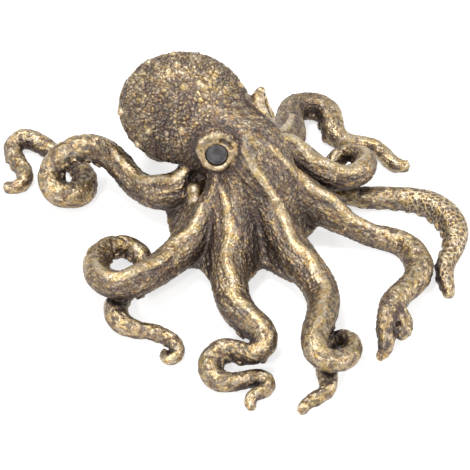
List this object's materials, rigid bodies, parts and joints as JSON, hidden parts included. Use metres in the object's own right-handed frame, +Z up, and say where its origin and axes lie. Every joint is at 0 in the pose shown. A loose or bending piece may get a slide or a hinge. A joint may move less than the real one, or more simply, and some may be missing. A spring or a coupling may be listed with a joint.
{
  "type": "octopus figurine",
  "caption": "Small antique brass octopus ornament with a pebbled mantle, raised eyes and curled arms that rest on the table.",
  "frame": {"origin": "on the table, under the middle of the figure's bounding box", "axes": "+X to the right of the picture, from the tip of the left arm to the far side of the right one, +Y away from the viewer, +Z up"},
  "size_m": [0.0825, 0.0763, 0.0271],
  "materials": {
    "antique_brass": "polished on the high places, dark brown in the hollows",
    "blackened_brass": "smooth and glossy"
  },
  "bodies": {
    "root": {"body": "antique_brass", "siphon": "antique_brass", "eye_left_inlay": "blackened_brass", "eye_right_inlay": "blackened_brass", "arm_left": "antique_brass", "arm_left_front": "antique_brass", "arm_front_left": "antique_brass", "arm_front_right": "antique_brass", "arm_right_front": "antique_brass", "arm_right": "antique_brass", "arm_rear_right": "antique_brass", "arm_rear_left": "antique_brass"}
  },
  "joints": []
}
